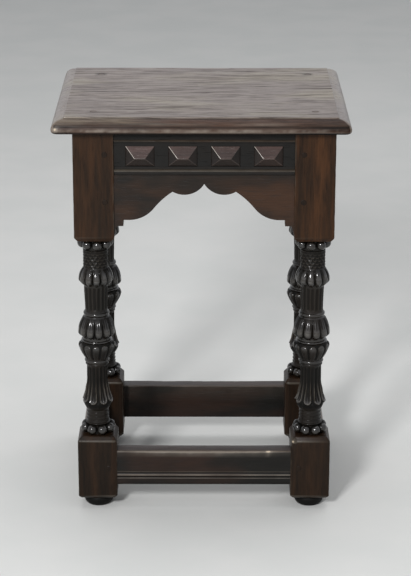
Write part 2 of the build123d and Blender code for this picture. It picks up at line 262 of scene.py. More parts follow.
def waxed_oak(name, grain, dark, mid, light, rub_and_highlight, grime_and_shade, seed,
              gloss=0.34, lustre=0.4, streak=0.5, bare=0.0, rich=None, coat=None, sheen_relief=0.75):
    """Old oak under dark wax. The grain runs along X, Y or Z. The attribute crest turns the colour to the
    pale one, for rubbed wear and for painted highlights, and the darkening attribute turns it to the dark
    one, for grime in hollows and for painted shade. rich is the pair of colours where the attribute rich is
    1, and bare is how dry and open the grain has become. The attribute polish lays a coat of wax,
    given by its weight, roughness and index; sheen_relief is how far it fills the grain."""
    f = Finish(name)
    along = "XYZ".index(grain)
    place = f.place()
    sway = f.clouds(f.mapped(place, (1, 1, 1), (seed, 0, 0)), 7.0, 2.0)

    def grained(across, length, shift):
        scale = [across] * 3
        scale[along] = length
        return f.mapped(place, scale, (shift + seed, shift * 0.7, shift * 1.3))

    bands = f.clouds(grained(34, 2.6, 3.1), 1.0, 4.0, 0.6, 0.9 - 0.7 * bare)
    streaks = f.clouds(grained(150 + 90 * bare, 17 - 4 * bare, 7.7), 1.0, 4.0, 0.6, 0.4 - 0.3 * bare)
    fibres = f.clouds(grained(520, 34, 1.9), 1.0, 3.0, 0.6)
    pores = f.clouds(grained(900, 48, 5.3), 1.0, 2.0, 0.5).between(0.60, 0.72)
    patches = f.clouds(grained(13, 5, 2.2), 1.0, 3.0, 0.6)
    smudges = f.clouds(f.mapped(place, (1, 1, 1), (0, 0, seed)), 45.0, 4.0, 0.65)
    crest = f.attribute("crest")
    sunk = f.attribute("grime_and_shade")
    deep = f.attribute("rich")
    polish = f.attribute("polish")

    tone = bands * (0.55 - 0.2 * bare) + streaks * (streak + 0.2 * bare) + sway * 0.2 - 0.12
    colour = f.mix(tone.between(0.3, 0.75), dark, mid)
    colour = f.mix(patches.between(0.46, 0.68) * 0.7, colour, light)
    if rich is not None:
        old = f.mix(tone.between(0.32, 0.72), rich[0], rich[1])
        colour = f.mix((deep * (patches * 0.8 + 0.6)).kept(), colour, old)
    line = (fibres.between(0.42, 0.66) * 0.35 + pores * 0.55).kept()
    colour = f.tinted(line, colour, (0.42, 0.38, 0.36, 1))
    dull = pores
    if bare:
        ticks = f.clouds(grained(400, 24, 4.4), 1.0, 3.0, 0.6)
        open_grain = (1.0 - 0.4 * deep) * (1.0 - 0.45 * polish.between(0.75, 0.95))
        flecks = (streaks.between(0.5, 0.61) * 0.62 + ticks.between(0.51, 0.62) * 0.6) * open_grain
        colour = f.tinted((flecks * bare).kept(), colour, (0.2, 0.16, 0.15, 1))
        dull = flecks
    # The pale colour on crests paints rubbed wear, and painted highlights as well on the bosses' hips, the
    # moulding lines of the rails and stretchers and some edges.
    rubbed = (crest * (smudges * 1.3 + 0.25)).kept()
    colour = f.mix(rubbed * 0.75, colour, rub_and_highlight)
    colour = f.mix(crest.between(1.4, 2.2), colour, shade(212, 194, 170))
    # The dark colour paints grime in hollows, and painted shade as well under the top's edge, on the rails'
    # frieze, on the bosses' lower and side facets and behind the beads.
    colour = f.mix((sunk * 0.9).kept(), colour, grime_and_shade)

    rough = gloss + (smudges - 0.5) * 0.14 + dull * 0.2 + sunk * 0.3 - crest * 0.05 - polish * 0.1
    relief = streaks * (0.6 - 1.2 * bare) + fibres * 0.25 - pores * 0.9 + smudges * 0.35
    relief = relief * (1.0 - polish * sheen_relief)
    normal = f.node("ShaderNodeBump", {"Strength": 0.4 + 0.2 * bare, "Distance": 0.0004, "Height": relief})
    steady = {"IOR": 1.5, "Specular_IOR_Level": lustre}
    if coat:
        weight, smooth, index = coat
        spread = (0.8 + (smudges - 0.5) * 0.6) * (1.0 - dull * 0.6 * bare)
        steady.update(Coat_Weight=(polish * weight * spread).kept(),
                      Coat_Roughness=smooth, Coat_IOR=index)
    return f.close(colour, rough.kept(), normal, **steady)


TOP_OAK = waxed_oak(
    "top_oak", "X", shade(92, 77, 69), shade(134, 120, 109), shade(140, 129, 106),
    shade(142, 133, 123), shade(10, 8, 6), 1.7, gloss=0.38, lustre=0.14, streak=0.62, bare=1.0,
    rich=(shade(28, 17, 12), shade(70, 44, 31)), coat=(1.0, 0.36, 1.5), sheen_relief=0.0)
LEG_OAK = waxed_oak(
    "leg_oak", "Z", shade(15, 14, 11), shade(24, 21, 17), shade(31, 24, 18),
    shade(78, 72, 64), shade(6, 6, 5), 4.2, gloss=0.36, lustre=0.14, coat=(1.0, 0.12, 1.85),
    rich=(shade(36, 24, 15), shade(74, 47, 27)))
LONG_RAIL_OAK = waxed_oak(
    "long_rail_oak", "X", shade(18, 15, 12), shade(34, 25, 18), shade(66, 41, 24),
    shade(100, 93, 84), shade(10, 9, 7), 2.9, gloss=0.36, lustre=0.25)
SHORT_RAIL_OAK = waxed_oak(
    "short_rail_oak", "Y", shade(20, 17, 13), shade(36, 27, 20), shade(68, 44, 27),
    shade(100, 93, 84), shade(10, 9, 7), 8.3, gloss=0.36, lustre=0.25)
STRETCHER_OAK = waxed_oak(
    "long_stretcher_oak", "X", shade(12, 11, 9), shade(20, 17, 13), shade(48, 30, 21),
    shade(142, 133, 122), shade(8, 7, 6), 6.1, gloss=0.34, lustre=0.25,
    rich=(shade(34, 23, 17), shade(64, 44, 33)))
SHORT_STRETCHER_OAK = waxed_oak(
    "short_stretcher_oak", "Y", shade(12, 11, 9), shade(20, 17, 13), shade(46, 29, 21),
    shade(126, 116, 106), shade(8, 7, 6), 9.4, gloss=0.34, lustre=0.25,
    rich=(shade(34, 23, 17), shade(64, 44, 33)))
# On the bosses the rich pair is painted light on the upward facets, the dark colour is painted shade on the
# lower and side facets, and the pale colour is a painted highlight on one upper hip of each boss.
LONG_BOSS_OAK = waxed_oak(
    "long_boss_oak", "X", shade(28, 22, 18), shade(42, 33, 28), shade(58, 41, 34),
    shade(205, 197, 188), shade(8, 7, 6), 5.6, gloss=0.28, lustre=0.36,
    rich=(shade(62, 49, 46), shade(92, 72, 68)))
SHORT_BOSS_OAK = waxed_oak(
    "short_boss_oak", "Y", shade(28, 22, 18), shade(42, 33, 28), shade(58, 41, 34),
    shade(205, 197, 188), shade(8, 7, 6), 3.3, gloss=0.28, lustre=0.36,
    rich=(shade(62, 49, 46), shade(92, 72, 68)))
PEG_OAK = waxed_oak(
    "peg_oak", "Z", shade(20, 15, 11), shade(36, 25, 17), shade(42, 29, 19),
    shade(70, 58, 48), shade(14, 11, 8), 7.4, gloss=0.4, lustre=0.14)
TOP_PEG_OAK = waxed_oak(
    "top_peg_oak", "Z", shade(72, 60, 53), shade(100, 87, 78), shade(106, 92, 80),
    shade(120, 104, 94), shade(20, 16, 14), 3.6, gloss=0.42, lustre=0.45)


# ---------------------------------------------------------------- moulded top
EDGE_PROFILE = [  # inwards from the edge and down from the flat, by the maker's thumb plane
    (16.05, 0.2), (15.95, 0.8), (15.7, 1.35), (15.0, 1.62), (14.0, 1.75), (12.6, 1.95), (11.0, 2.25),
    (9.4, 2.75), (7.8, 3.4), (6.4, 4.15), (5.2, 4.95), (4.1, 5.8), (3.2, 6.7), (2.4, 7.6), (1.85, 8.5),
    (1.5, 9.2), (1.35, 9.8), (1.0, 10.4), (0.6, 11.1), (0.3, 11.8), (0.1, 12.8), (0.0, 14.0), (0.0, 15.2),
    (0.1, 16.2), (0.35, 17.2), (0.8, 18.0), (1.4, 18.8), (2.2, 19.4), (3.3, 19.85), (4.8, 20.0),
]
TOP_HALF_X, TOP_HALF_Y = 196.5, 165.5
FIELD_X, FIELD_Y = TOP_HALF_X - 16.6, TOP_HALF_Y - 16.6
TOP_PEGS = [(FRAME_SHIFT + sx * TOP_PEG_REACH_X, FRAME_BACK + sy * TOP_PEG_REACH_Y)
            for sx in (-1, 1) for sy in (-1, 1)]
CHIPPED_CORNER = Vector((-190.5, -164.5, 547.0))
CHIP_SIZE = 5.5


def round_corner(x, y, half_x, half_y, radius):
    """Moves a point near a corner of a rectangle onto the rounded corner."""
    in_x, in_y = abs(x) - (half_x - radius), abs(y) - (half_y - radius)
    if in_x <= 0 or in_y <= 0:
        return x, y
    reach = max(in_x, in_y)
    far = math.hypot(in_x, in_y)
    return (math.copysign(half_x - radius + in_x / far * reach, x),
            math.copysign(half_y - radius + in_y / far * reach, y))


def packed_towards_ends(share):
    """Sets grid lines closer together near the ends; share runs from -1 to 1."""
    return share * (1 - 0.16 * share * share) / 0.84


def moulded_top():
    bm, crest, sunk = fresh()
    rich, polish = bm.verts.layers.float["rich"], bm.verts.layers.float["polish"]
    bmesh.ops.create_grid(bm, x_segments=96, y_segments=78, size=1.0)
    for v in bm.verts:
        v.co.x = packed_towards_ends(v.co.x) * FIELD_X
        v.co.y = packed_towards_ends(v.co.y) * FIELD_Y
        v.co.z = TOP_HEIGHT
    # the four peg holes
    for px, py in TOP_PEGS:
        patch = [g for g in bm.faces
                 if max(abs(g.calc_center_median().x - px), abs(g.calc_center_median().y - py)) < 9.5]
        rim = [e for e in {e for g in patch for e in g.edges} if sum(g in patch for g in e.link_faces) == 1]
        bmesh.ops.delete(bm, geom=patch, context="FACES")
        ring = bmesh.ops.create_circle(
            bm, segments=len(rim), radius=4.55,
            matrix=Matrix.Translation((px, py, TOP_HEIGHT)))["verts"]
        ring_edges = list({e for v in ring for e in v.link_edges})
        bmesh.ops.bridge_loops(bm, edges=rim + ring_edges)
        wall = bmesh.ops.extrude_edge_only(bm, edges=ring_edges)["geom"]
        for v in wall:
            if isinstance(v, bmesh.types.BMVert):
                v.co.z -= 4.0
                v[sunk] = 1.0
        for v in ring:
            v[sunk] = 0.75 if py > 0 else 0.25
    def on_rim(v):
        return max(abs(v.co.x) / FIELD_X, abs(v.co.y) / FIELD_Y) > 0.999

    edge = [e for e in bm.edges if e.is_boundary and all(on_rim(v) for v in e.verts)]
    now_x, now_y = FIELD_X, FIELD_Y
    rings = []
    for inset, down in EDGE_PROFILE:
        new = bmesh.ops.extrude_edge_only(bm, edges=edge)["geom"]
        edge = [e for e in new if isinstance(e, bmesh.types.BMEdge)]
        verts = [v for v in new if isinstance(v, bmesh.types.BMVert)]
        next_x, next_y = TOP_HALF_X - inset, TOP_HALF_Y - inset
        bmesh.ops.scale(bm, vec=(next_x / now_x, next_y / now_y, 1), verts=verts)
        for v in verts:
            v.co.z = TOP_HEIGHT - down
        now_x, now_y = next_x, next_y
        rings.append((verts, inset, down))
    under = bmesh.ops.create_grid(bm, x_segments=96, y_segments=78, size=1.0)["verts"]
    for v in under:
        v.co = Vector((packed_towards_ends(v.co.x) * now_x, packed_towards_ends(v.co.y) * now_y,
                       TOP_HEIGHT - TOP_THICKNESS))
    bmesh.ops.remove_doubles(bm, verts=under + rings[-1][0], dist=0.01)
    alive = set(bm.verts)
    for verts, inset, down in rings:
        half_x, half_y = TOP_HALF_X - inset, TOP_HALF_Y - inset
        radius = 2.0 + 4.5 * ease(14.0 - inset, 0, 12)
        for v in verts:
            if v not in alive:
                continue
            x, y = round_corner(v.co.x, v.co.y, half_x, half_y, radius)
            rub = unevenness(x, y, 0, 55, 2.0)
            fine = unevenness(x, y, v.co.z, 14, 5.0)
            out = Vector((x / half_x if abs(x) / half_x > abs(y) / half_y else 0,
                          y / half_y if abs(y) / half_y >= abs(x) / half_x else 0, 0))
            v.co.x, v.co.y = x, y
            v.co -= out * max(0.0, 0.12 + 0.22 * fine + 0.18 * rub)
            ends = abs(x) / half_x > abs(y) / half_y
            left = ease(-x, 20.0, 140.0)
            right = ease(x, 60.0, 190.0) * (not ends)
            patch = 0.66 - 0.45 * right + 0.9 * fine + 0.6 * unevenness(x, y, v.co.z, 5, 8.0)
            # The nose is rubbed pale in patches. The thin pale line along the nose's lower edge, on the
            # long edges and fading towards the left, is a painted highlight. The dark line in the quirk
            # under the flat and the dark underside of the nose are painted shade, and the dark band on the
            # thumb's steep face is partly patina and partly painted shade; the quirk and band are faint on
            # the ends. The front edge is paler towards the left and darker towards the right.
            v[crest] = (patch * (0.8 + 0.2 * left) * bump_at(down, 14.6, 2.1)
                        + 0.25 * bump_at(inset, 16.0, 0.5)
                        + 0.7 * (1 - left) * bump_at(down, 17.0, 0.7) * (not ends)
                        + (0.3 + 0.5 * rub) * bump_at(inset, 3.4, 1.5) * (not ends))
            v[sunk] = ((0.1 if ends else 0.75 + 0.3 * rub) * bump_at(down, 10.0, 1.6)
                       + (0.1 if ends else 0.8) * bump_at(inset, 15.3, 0.5) + 0.9 * ease(down, 16.6, 18.2)
                       + 0.3 * right * ease(down, 1.4, 2.0))
            old = 0.1 if ends else 0.95 - 0.55 * left * ease(inset, 2.0, 7.0)
            v[rich] = old * ease(16.3 - inset, 0.2, 1.2)
            v[polish] = 0.95 if ends else 0.7 - (0.7 - 0.2 * left) * ease(16.3 - inset, 0.2, 2.0)
    for v in bm.verts:
        if v.co.z > TOP_HEIGHT - 0.1:
            v[polish] = 0.7
        if v.co.z > TOP_HEIGHT - 1.6:
            dish = (0.28 * unevenness(v.co.x, v.co.y, 0, 120, 1.0)
                    + 0.07 * unevenness(v.co.x, v.co.y, 0, 24, 3.0))
            v.co.z += min(0.0, dish - 0.12)
        chip = (v.co - CHIPPED_CORNER).length
        if chip < CHIP_SIZE:
            v.co += Vector((0.5, 0.9, -0.1)) * (1 - chip / CHIP_SIZE) * 1.3
            v[crest] = max(v[crest], 2.6 * (1 - chip / CHIP_SIZE))
    return finished(bm, "moulded_top", TOP_OAK, "top_board", sharp=50)


# ---------------------------------------------------------------- turned and carved legs
LOWER_BLOCK = (15.2, 101.0)
UPPER_BLOCK = (393.0, 540.0)
LOWER_BEADS = (114.0, 17.7, 6.8, 1.0)  # height, ring radius, bead radius, how tall for its width
UPPER_BEADS = (380.2, 17.7, 6.7, 1.02)
BELL = (141.0, 206.0)
CUP = (214.4, 240.2)
BULB = (246.0, 253.0, 275.5)  # tips, lip and top of its petals
FLUTES = (285.0, 320.5)
PETALS = (320.5, 328.5, 345.5)  # the same for the upper petals
SCALES = (345.5, 371.5)
SCALE_ROOT = 369.5  # the highest row starts here
HAND = {  # how far each carver's setting-out is turned, in degrees, and a seed
    "leg_front_left": {"top": -13, "petals": -10, "bulb": -5, "cup": 0, "bell": 6, "low": -2, "seed": 1.0},
    "leg_front_right": {"top": 12, "petals": 7, "bulb": 0, "cup": 3, "bell": 8, "low": 0, "seed": 2.0},
    "leg_back_left": {"top": 4, "petals": 5, "bulb": 4, "cup": -4, "bell": -5, "low": 5, "seed": 3.0},
    "leg_back_right": {"top": -6, "petals": 9, "bulb": -3, "cup": 6, "bell": 3, "low": -4, "seed": 4.0},
}


def line(a, b):
    return lambda t: a + (b - a) * t


def round_bead(root, swell):
    return lambda t: root + (swell - root) * math.sqrt(max(0.0, 1 - (2 * t - 1) ** 2))


def rising(a, b):
    """Leaves a at a slant and ends upright at b."""
    return lambda t: a + (b - a) * math.sin(t * math.pi / 2)


def falling(a, b, height):
    """Leaves a upright and bends in to b on one arc."""
    reach = a - b
    radius = (height ** 2 + reach ** 2) / (2 * reach)
    return lambda t: a - radius + math.sqrt(radius ** 2 - (t * height) ** 2)


TURNING = [  # from, to, rows, radius
    (104.0, 108.0, 4, line(15.0, 14.2)),
    (108.0, 121.0, 11, line(14.2, 14.2)),
    (121.0, 123.2, 6, round_bead(15.4, 17.0)),
    (123.2, 126.4, 5, line(15.3, 14.5)),
    (126.4, 128.4, 5, round_bead(14.5, 15.5)),
    (128.4, 131.4, 4, line(14.5, 14.4)),
    (131.4, 133.4, 5, round_bead(14.4, 15.4)),
    (133.4, 137.0, 4, line(14.4, 14.5)),
    (137.0, 138.8, 5, round_bead(14.5, 15.2)),
    (138.8, 141.0, 3, line(14.5, 14.5)),
    (141.0, 152.0, 22, rising(14.5, 21.2)),
    (152.0, 186.0, 44, lambda t: 14.4 + 6.8 * (1 - t) ** 2.2),
    (186.0, 206.0, 16, line(14.4, 14.4)),
    (206.0, 209.0, 6, round_bead(14.5, 15.7)),
    (209.0, 210.2, 3, line(14.7, 14.8)),
    (210.2, 214.4, 9, round_bead(14.8, 16.9)),
    (214.4, 234.0, 34, lambda t: 15.7 + 9.5 * (0.45 * t + 0.55 * math.sin(t * math.pi / 2))),
    (234.0, 240.2, 13, lambda t: 20.6 + 4.6 * math.sqrt(1 - t * t)),
    (240.2, 243.2, 8, round_bead(19.6, 21.1)),
    (243.2, 246.0, 4, line(18.8, 18.8)),
    (246.0, 253.0, 15, rising(18.8, 25.4)),
    (253.0, 275.5, 36, falling(25.4, 18.0, 22.5)),
    (275.5, 277.6, 4, line(17.4, 16.2)),
    (277.6, 282.8, 11, round_bead(15.8, 17.7)),
    (282.8, 285.0, 4, line(15.7, 15.2)),
    (285.0, 320.5, 34, line(15.2, 16.3)),
    (320.5, 328.5, 15, rising(16.3, 23.5)),
    (328.5, 345.5, 30, falling(23.5, 17.0, 17.0)),
    (345.5, 371.5, 54, line(17.0, 17.0)),
    (371.5, 387.5, 14, line(15.0, 15.0)),
    (387.5, 396.0, 3, line(15.5, 15.5)),
]


def turned_radius(height):
    for low, high, _, radius in TURNING:
        if low <= height <= high:
            return radius((height - low) / (high - low))
    return 17.0


def part_of(phi, count, phase):
    """Place across one of count equal parts of the turn: 0 in its middle, -0.5 and 0.5 at its sides."""
    return ((phi - math.radians(phase)) * count / TURN + 0.5) % 1 - 0.5


def hanging_petals(phi, z, r, tip, lip, top, root, phase, reeds):
    """Petals that hang from a bulb: crowned, parted by grooves, with scalloped tips."""
    u = part_of(phi, 12, phase)
    side = abs(2 * u)
    lift = 5.2 * side ** 2.4 * ease(top - z, 0.0, top - lip)
    if z < lip:
        lift = 5.2 * side ** 2.4 * ease(z, tip - 1.0, tip + 1.5)
        edge = turned_radius(lip + 5.2 * side ** 2.4)
        r = root + (r - root) * (edge - root) / (turned_radius(lip) - root)
    else:
        r = turned_radius(z + lift)
    near_tip = ease(top - z, 0.0, 0.75 * (top - lip))
    part = side ** 5 * (0.7 + 1.7 * near_tip)
    crown = 0.9 * side * side * near_tip
    if z < lip:
        shallow = ease(z, tip, lip)
        part, crown = part * shallow, crown * shallow
    cut = 0.0
    if z > lip:
        if reeds == 3:
            cut = (0.5 - 0.5 * math.cos(TURN * (3 * u / 0.8 + 0.5))) * (0.62 if side < 0.8 else 0.0)
            cut *= ease(z, lip + 5.0, lip + 10.0)
        else:
            cut = 0.62 * bump_at(side, 0.62, 0.1) * ease(z, lip + 2.5, lip + 6.0)
    deep = min(1.0, 0.9 * side ** 4 + cut * 0.7)
    height = ease(z, lip - 2.0, lip + 3.0) * (1 - ease(z, lip + 5, lip + 12))
    return r - part - crown - cut, z + lift, deep, 0.45 * height * (1 - side) ** 0.7


def fluted(phi, z, r, low, high, phase):
    """Sixteen gouged flutes with narrow ridges left between them."""
    u = part_of(phi, 16, phase)
    ends = min(ease(z, low, low + 3.5), 1 - ease(z, high - 3.5, high))
    scoop = (1 - (2 * u) ** 2) ** 0.8 * ends
    return r - 1.15 * scoop, z, 0.55 * scoop, 0.25 * (1 - scoop) * ends


def bell_flutes(phi, z, r, phase):
    """Shaft flutes that spread into eight petals with raised, rounded rims."""
    u = part_of(phi, 8, phase)
    angle = abs(u) * 45.0
    arm = 11.25 + 3.6 * (1 - ease(z, 153.0, 180.0))
    across = math.radians(angle) * r
    reach = math.radians(arm) * r
    turn_at = 158.5
    if z >= turn_at:
        off = across - reach
    else:
        off = math.hypot(across, z - turn_at) - reach
    low = ease(z, 149.0, 170.0)
    ends = 1 - ease(z, 202.0, 206.0)
    if off < 0:
        inside = min(1.0, -off / reach)
        scoop = 1.5 * (1 - (1 - inside) ** 2) * (0.6 + 0.4 * low)
        rib = 1.0 * math.exp(-(across / 0.9) ** 2) * (1 - ease(z, 166.0, 178.0)) * ease(z, 152.0, 156.0)
        depth = scoop - rib
    else:
        room = max(0.5, math.radians(22.5) * r - reach)
        inside = min(1.0, off / room)
        depth = 1.25 * (1 - (1 - inside) ** 2)
        depth += 0.9 * (1 - low) * inside
    ridge = 1.0 * bump_at(off, 0.0, 0.8) * (1 - ease(z, 170.0, 186.0))
    shallow = ease(z, 141.5, 148.5) * ends
    tips = 0.8 * bump_at(abs(u), 0.5, 0.09) * ease(z, 142.0, 146.0) * (1 - ease(z, 150.0, 156.0))
    deep = min(1.0, max(0.0, depth - ridge) * 0.65) * shallow
    high = min(1.0, ridge + tips * 0.4) * shallow
    return r - (depth - ridge - tips) * shallow, z, deep, high


def gadroons(phi, z, r, phase):
    """Twelve drops round the cup, with round tops below its fillet."""
    u = part_of(phi, 12, phase)
    across = abs(u) * TURN / 12 * r
    width = 0.40 * TURN / 12 * r
    turn_at = 238.6 - width
    off = across - width if z < turn_at else math.hypot(across, (z - turn_at)) - width
    ends = ease(z, 214.6, 218.0) * (1 - ease(z, 239.0, 240.2))
    if off < 0:
        inside = min(1.0, -off / width)
        depth = 0.75 * (1 - math.sqrt(max(0.0, 1 - (1 - inside) ** 2)))
        vein = 0.45 * math.exp(-(across / 0.7) ** 2) * (1 - ease(z, 226.0, 233.0))
        depth += vein
    else:
        depth = 1.25 + 0.15 * min(1.0, off)
    groove = 0.35 * bump_at(off, 0.2, 0.6)
    lit = bump_at(off, -0.9, 0.7) * ease(z, 229.0, 234.0)
    return r - (depth + groove) * ends, z, min(1.0, 0.7 * depth) * ends, 0.5 * lit * ends


def scales(phi, z, r, phase):
    """Rows of small overlapping scales, rubbed smooth towards the top."""
    pitch, high = 4.3, SCALE_ROOT
    arc = TURN / 16 * r
    best = 0.0
    row = int((high - z) / pitch)
    for k in (row + 1, row, row - 1):
        middle = high - k * pitch
        across = part_of(phi, 16, phase + (11.25 if k % 2 else 0)) * arc
        below = middle - z
        reach = math.hypot(across, max(0.0, below) * 0.85)
        if below >= -pitch and reach < arc * 0.52:
            best = 0.25 + 0.75 * ease(reach, 0.0, arc * 0.5) * ease(below, -1.0, 3.0)
    faded = 0.35 + 0.65 * (1 - ease(z, 362.0, 369.0))
    ends = ease(z, 345.5, 347.5) * (1 - ease(z, 369.5, 371.0))
    cut = (1 - best) * 1.25 * faded * ends
    return r - cut, z, 0.75 * (1 - best) * ends, 0.55 * ease(best, 0.8, 1.0) * ends * faded


def carve(phi, z, r, hand):
    """Where a point of the turning goes, and how deep in a cut or high on a crest it lies."""
    if BELL[0] < z < BELL[1]:
        return bell_flutes(phi, z, r, hand["bell"] - 90 + 22.5)
    if CUP[0] < z <= CUP[1]:
        return gadroons(phi, z, r, hand["cup"] - 90)
    if BULB[0] < z < BULB[2]:
        return hanging_petals(phi, z, r, *BULB, 18.8, hand["bulb"] - 75, 3)
    if FLUTES[0] < z < FLUTES[1]:
        return fluted(phi, z, r, *FLUTES, hand["bulb"] - 90)
    if PETALS[0] < z < PETALS[2]:
        return hanging_petals(phi, z, r, *PETALS, 16.3, hand["petals"] - 75, 2)
    if SCALES[0] <= z < SCALES[1]:
        return scales(phi, z, r, hand["petals"] - 90)
    return r, z, 0.0, 0.0


def handled(z):
    """How much of the polish a height gets: most on the bulbs and rings, least on the necks."""
    swell = bump_at(z, 333, 9) + bump_at(z, 262, 11) + bump_at(z, 238, 6) + bump_at(z, 156, 9)
    rings = bump_at(z, 280, 3) + bump_at(z, 212.5, 3) + bump_at(z, 249, 3)
    return min(1.0, 0.1 + swell + 0.5 * rings)


def turned_blank():
    """The turning as it leaves the lathe, before any carving."""
    points = [(0.0, TURNING[0][0])]
    for low, high, rows, radius in TURNING:
        points += [(radius(i / rows), low + (high - low) * i / rows) for i in range(rows)]
    points += [(17.5, TURNING[-1][1]), (0.0, TURNING[-1][1])]
    bm = spun(points, 176)
    mesh = bpy.data.meshes.new("turned_blank")
    bm.to_mesh(mesh)
    bm.free()
    return mesh


def carved_turning(blank, hand):
    """Cuts the carving into a copy of the blank."""
    bm, crest, sunk = fresh()
    bm.from_mesh(blank)
    polish = bm.verts.layers.float["polish"]
    seed = hand["seed"]
    for v in bm.verts:
        r = v.co.xy.length
        if r < 0.01:
            continue
        z = v.co.z
        phi = math.atan2(v.co.y, v.co.x)
        wander = 0.018 * unevenness(20 * math.cos(phi), 20 * math.sin(phi), z, 16, seed)
        r, z, deep, high = carve(phi + wander, z, r, hand)
        r += 0.16 * unevenness(v.co.x, v.co.y, z, 9, seed)
        lean = 0.25 * unevenness(0, 0, z, 60, seed + 5)
        v.co = Vector((r * math.cos(phi) + lean, r * math.sin(phi), z))
        v[sunk] = deep
        v[crest] = high
        v[polish] = max(0.0, 1 - 2.4 * deep) * handled(z)
    return bm


# The sloping ends of the blocks: which way, how high, how far in.
SHOULDER_UP, SHOULDER_DOWN, SOLE = (1, 6.0, 4.5), (-1, 6.0, 4.5), (-1, 4.0, 4.0)


def bead_ring(height, ring_radius, radius, tall, phase):
    """Eight round beads side by side."""
    bm, _, sunk = fresh()
    polish = bm.verts.layers.float["polish"]
    for i in range(8):
        phi = math.radians(phase - 90 + 22.5 + 45 * i)
        outward = Vector((math.cos(phi), math.sin(phi), 0))
        middle = outward * ring_radius + Vector((0, 0, height))
        ball = bmesh.ops.create_uvsphere(bm, u_segments=24, v_segments=14, radius=radius)["verts"]
        bmesh.ops.scale(bm, vec=(1, 1, tall), verts=ball)
        bmesh.ops.translate(bm, vec=middle, verts=ball)
        for v in ball:
            face = (v.co - middle).dot(outward) / radius
            v.co += outward * 0.25 * unevenness(v.co.x, v.co.y, v.co.z, 6, i)
            # Painted shade: the beads are darkened on their sides and their backs, towards the shaft.
            v[sunk] = 1 - ease(face, -0.1, 0.4)
            v[polish] = 0.7 * ease(face, 0.0, 0.5)
    return bm


def square_block(low, high, hips, seed, warm, round_x=0.0):
    """A squared block with sloping shoulders, its arrises softened by wear. The upright
    arris on the side round_x points to is rubbed rounder than the others."""
    bm, crest, _ = fresh()
    bmesh.ops.create_cube(bm, size=1.0)
    bmesh.ops.scale(bm, vec=(2 * LEG_HALF, 2 * LEG_HALF, high - low), verts=bm.verts)
    bmesh.ops.translate(bm, vec=(0, 0, (low + high) / 2), verts=bm.verts)
    for up, rise, inset in hips:
        end = max(bm.faces, key=lambda g: g.calc_center_median().z * up)
        cap = bmesh.ops.extrude_discrete_faces(bm, faces=[end])["faces"][0]
        share = (LEG_HALF - inset) / LEG_HALF
        bmesh.ops.scale(bm, vec=(share, share, 1), verts=cap.verts)
        bmesh.ops.translate(bm, vec=(0, 0, up * rise), verts=cap.verts)
    soft = bmesh.ops.bevel(bm, geom=bm.edges[:], offset=1.0, offset_type="OFFSET", segments=3,
                           affect="EDGES", profile=0.5, material=-1, clamp_overlap=False)
    arris = set(soft["faces"])
    flat = [g for g in bm.faces if g not in arris]
    for v in bm.verts:
        v[crest] = 0.85
    bmesh.ops.inset_individual(bm, faces=flat, thickness=1.0, use_even_offset=True)
    for g in flat:
        for v in g.verts:
            v[crest] = 0.0
    # cross cuts give the arrises somewhere to wear
    count = int((high - low) / 3.5)
    for i in range(1, count):
        level = low + (high - low) * i / count
        bmesh.ops.bisect_plane(bm, geom=bm.verts[:] + bm.edges[:] + bm.faces[:], dist=0.001,
                               plane_co=(0, 0, level), plane_no=(0, 0, 1))
    if round_x:
        for inward in (9.0, 7.0, 5.2, 3.6):
            bmesh.ops.bisect_plane(bm, geom=bm.verts[:] + bm.edges[:] + bm.faces[:], dist=0.001,
                                   plane_co=(round_x * (LEG_HALF - inward), 0, 0), plane_no=(1, 0, 0))
    rich = bm.verts.layers.float["rich"]
    for v in bm.verts:
        out = Vector((v.co.x, v.co.y, 0))
        rub = 0.12 * unevenness(v.co.x, v.co.y, v.co.z, 30, seed)
        if min(abs(v.co.x), abs(v.co.y)) > LEG_HALF - 2.4:
            rub += 0.45 * max(0.0, unevenness(v.co.x, v.co.y, v.co.z, 13, seed + 2))
            v[crest] *= 0.25 + 0.7 * unevenness(v.co.x, v.co.y, v.co.z, 10, seed + 4)
        elif v.co.z > high + 1.6 or (v.co.z < low - 1.0 and hips[0][0] < 0):
            v[crest] = 0.0
        # The arris along the top of each face is painted paler: rubbing, and a painted highlight along the
        # lit edge.
        elif v.co.z > high - 2.0:
            v[crest] *= 1.25 + 0.5 * unevenness(v.co.x, v.co.y, 0, 20, seed)
        v.co -= out.normalized() * max(0.0, rub + 0.05)
        if round_x and v.co.y < 0:
            v.co.y += 1.9 * ease(round_x * v.co.x, LEG_HALF - 8.5, LEG_HALF) ** 2
        v[rich] = warm
    return bm


def bun_foot():
    points = [(0.0, 0.0)]
    for i in range(15):
        t = i / 14
        points.append((15.0 + 5.4 * math.sin(t * math.pi / 2) ** 0.85, 9.0 * t ** 1.25))
    points += [(20.3, 10.6), (19.7, 12.6), (18.4, 14.2), (17.4, 15.6), (17.2, 18.0), (0.0, 18.0)]
    bm = spun(points, 64)
    sunk = bm.verts.layers.float["grime_and_shade"]
    for v in bm.verts:
        v[sunk] = 0.75
    return bm


def knocked_corner(bm):
    """The inner front corner of one lower block has been knocked off and rubbed pale."""
    crest = bm.verts.layers.float["crest"]
    corner = Vector((-LEG_HALF, -LEG_HALF, LOWER_BLOCK[1]))
    for v in bm.verts:
        near = 1 - (v.co - corner).length / 11.0
        if near > 0 and v.co.z > 90.0:
            v.co += Vector((1.0, 1.0, -0.6)) * 2.6 * near
            if v.co.z > 97.0:
                v[crest] = max(v[crest], 3.6 * (near - 0.25))


